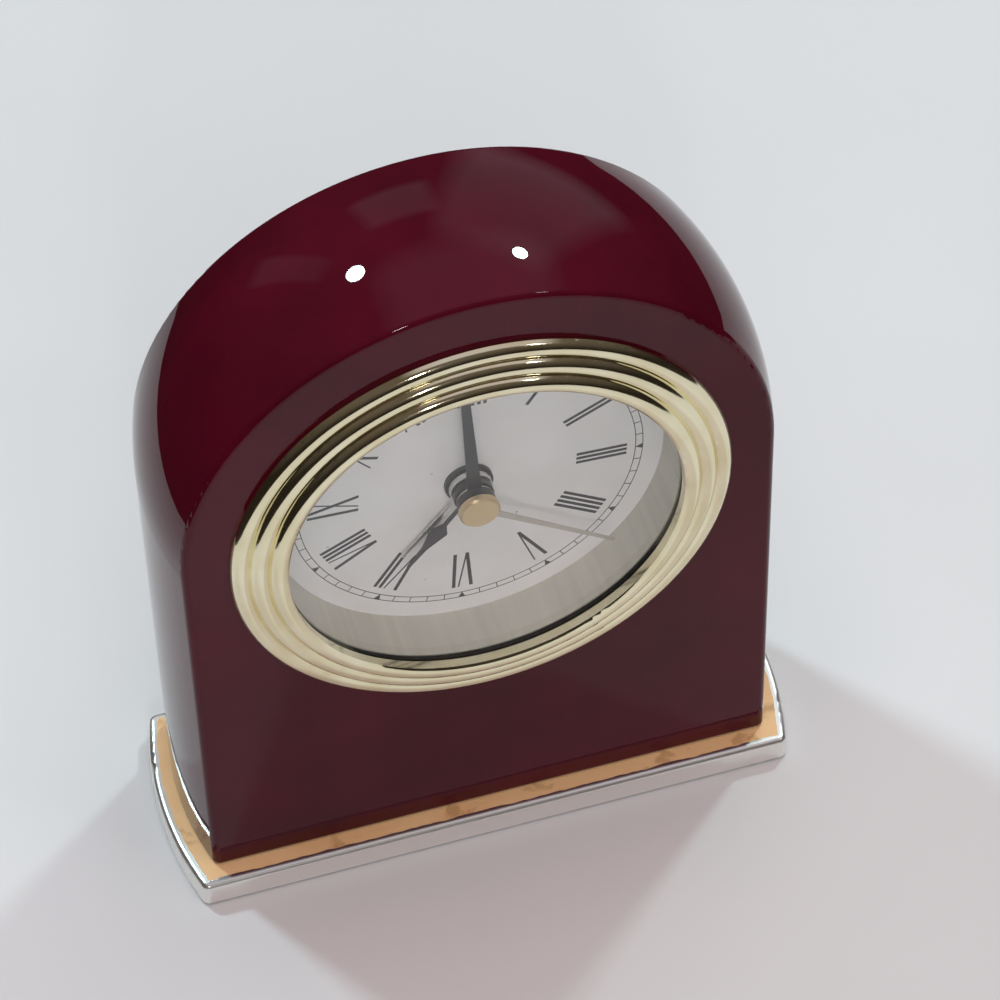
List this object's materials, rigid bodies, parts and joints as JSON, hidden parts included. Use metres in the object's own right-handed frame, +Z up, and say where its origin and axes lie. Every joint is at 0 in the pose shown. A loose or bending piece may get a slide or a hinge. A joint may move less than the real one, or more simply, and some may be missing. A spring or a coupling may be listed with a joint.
{
  "type": "table alarm clock",
  "caption": "Arched lacquered table clock on a brass base plate, with a round pull-out quartz alarm insert, stepped bezel, Roman dial and setting knobs behind.",
  "frame": {"origin": "on the table, under the middle of the whole clock's box", "axes": "+Z up, -Y out of the dial towards the viewer, +X to the viewer's right"},
  "size_m": [0.0924, 0.0324, 0.1129],
  "materials": {
    "lacquered_wood": "high gloss burgundy lacquer",
    "base_brass": "satin gold, worn to bright silver at the rim",
    "foot_rubber": "matt pale pads",
    "screw_steel": "zinc plated",
    "bezel_brass": "polished pale brass",
    "clear_glass": "clear",
    "black_rubber": "matt black",
    "satin_aluminium": "satin",
    "white_enamel": "satin white",
    "black_plastic": "moulded black",
    "red_plastic": "moulded red",
    "black_enamel": "satin black",
    "silver_plate": "bright silver plate",
    "gold_plate": "pale gold plate",
    "white_plastic": "natural moulded",
    "train_brass": "cut brass",
    "bridge_steel": "stamped steel",
    "magnet_ferrite": "pressed magnet",
    "copper_wire": "enamelled copper wire",
    "green_board": "solder mask",
    "crystal_can": "drawn can",
    "buzzer_brass": "brass disc",
    "cell_jacket": "plain wrapped jacket"
  },
  "bodies": {
    "case": {"case_body": "lacquered_wood", "base_plate": "base_brass", "base_feet": "foot_rubber", "base_screws": "screw_steel"},
    "insert": {"bezel": "bezel_brass", "glass": "clear_glass", "glass_gasket": "black_rubber", "rehaut": "satin_aluminium", "dial": "white_enamel", "dial_bush": "black_plastic", "housing": "black_plastic", "grip_ring": "black_rubber", "train_plate": "white_plastic", "train_bridge": "bridge_steel", "bridge_screws": "screw_steel", "stator": "bridge_steel", "coil_bobbin": "white_plastic", "coil_winding": "copper_wire", "circuit_board": "green_board", "quartz_crystal": "crystal_can", "buzzer": "buzzer_brass", "battery": "cell_jacket", "battery_contacts": "bridge_steel", "back_cover": "black_plastic", "cover_screws": "screw_steel"},
    "minute": {"minute_hand": "black_enamel", "hand_washer": "silver_plate", "centre_wheel": "train_brass"},
    "hour": {"hour_hand": "black_enamel", "hour_wheel": "white_plastic"},
    "second": {"second_hand": "gold_plate", "second_wheel": "train_brass"},
    "third": {"third_wheel": "train_brass"},
    "intermediate": {"intermediate_wheel": "white_plastic"},
    "rotor": {"rotor_pinion": "train_brass", "rotor_magnet": "magnet_ferrite"},
    "minute_work": {"minute_wheel": "white_plastic"},
    "time_setter": {"time_set_arbor": "white_plastic", "time_set_knob": "black_plastic"},
    "alarm": {"alarm_hand": "silver_plate", "alarm_wheel": "white_plastic"},
    "alarm_setter": {"alarm_set_arbor": "white_plastic", "alarm_set_knob": "black_plastic"},
    "switch": {"alarm_switch": "red_plastic"},
    "door": {"battery_door": "black_plastic"}
  },
  "joints": [
    {"name": "insert_pull", "type": "slide", "parent": "case", "child": "insert", "axis": [0, -1, 0], "range_m": [0, 0.032]},
    {"name": "minute_turn", "type": "hinge", "parent": "insert", "child": "minute", "pos_m": [0, -0.0054, 0.0679], "axis": [0, 1, 0], "continuous": true},
    {"name": "hour_turn", "type": "hinge", "parent": "insert", "child": "hour", "pos_m": [0, -0.0054, 0.0679], "axis": [0, 1, 0], "continuous": true},
    {"name": "second_turn", "type": "hinge", "parent": "insert", "child": "second", "pos_m": [0, -0.0054, 0.0679], "axis": [0, 1, 0], "continuous": true},
    {"name": "third_turn", "type": "hinge", "parent": "insert", "child": "third", "pos_m": [0.00052, -0.0054, 0.07643], "axis": [0, 1, 0], "continuous": true},
    {"name": "intermediate_turn", "type": "hinge", "parent": "insert", "child": "intermediate", "pos_m": [0.00575, -0.0054, 0.0696], "axis": [0, 1, 0], "continuous": true},
    {"name": "rotor_turn", "type": "hinge", "parent": "insert", "child": "rotor", "pos_m": [0.01132, -0.0054, 0.07024], "axis": [0, 1, 0], "continuous": true},
    {"name": "minute_wheel_turn", "type": "hinge", "parent": "insert", "child": "minute_work", "pos_m": [-0.00719, -0.0054, 0.06834], "axis": [0, 1, 0], "continuous": true},
    {"name": "time_set_turn", "type": "hinge", "parent": "insert", "child": "time_setter", "pos_m": [-0.01523, -0.0054, 0.06742], "axis": [0, 1, 0], "continuous": true},
    {"name": "alarm_set_turn", "type": "hinge", "parent": "insert", "child": "alarm_setter", "pos_m": [0.01484, -0.0054, 0.06568], "axis": [0, 1, 0], "continuous": true},
    {"name": "alarm_turn", "type": "hinge", "parent": "insert", "child": "alarm", "pos_m": [0, -0.0054, 0.0679], "axis": [0, 1, 0], "continuous": true},
    {"name": "alarm_switch_slide", "type": "slide", "parent": "insert", "child": "switch", "axis": [0.9981, 0, -0.061], "range_m": [0, 0.004]},
    {"name": "battery_door_pull", "type": "slide", "parent": "insert", "child": "door", "axis": [0, 1, 0], "range_m": [0, 0.02]}
  ],
  "couplings": [
    {"joint": "hour_turn", "follows": "minute_turn", "ratio": 0.083333},
    {"joint": "second_turn", "follows": "minute_turn", "ratio": 60},
    {"joint": "third_turn", "follows": "minute_turn", "ratio": -8},
    {"joint": "intermediate_turn", "follows": "minute_turn", "ratio": -300},
    {"joint": "rotor_turn", "follows": "minute_turn", "ratio": 1800},
    {"joint": "minute_wheel_turn", "follows": "minute_turn", "ratio": -0.33333},
    {"joint": "time_set_turn", "follows": "minute_turn", "ratio": 0.66667},
    {"joint": "alarm_turn", "follows": "alarm_set_turn", "ratio": -1.5}
  ]
}
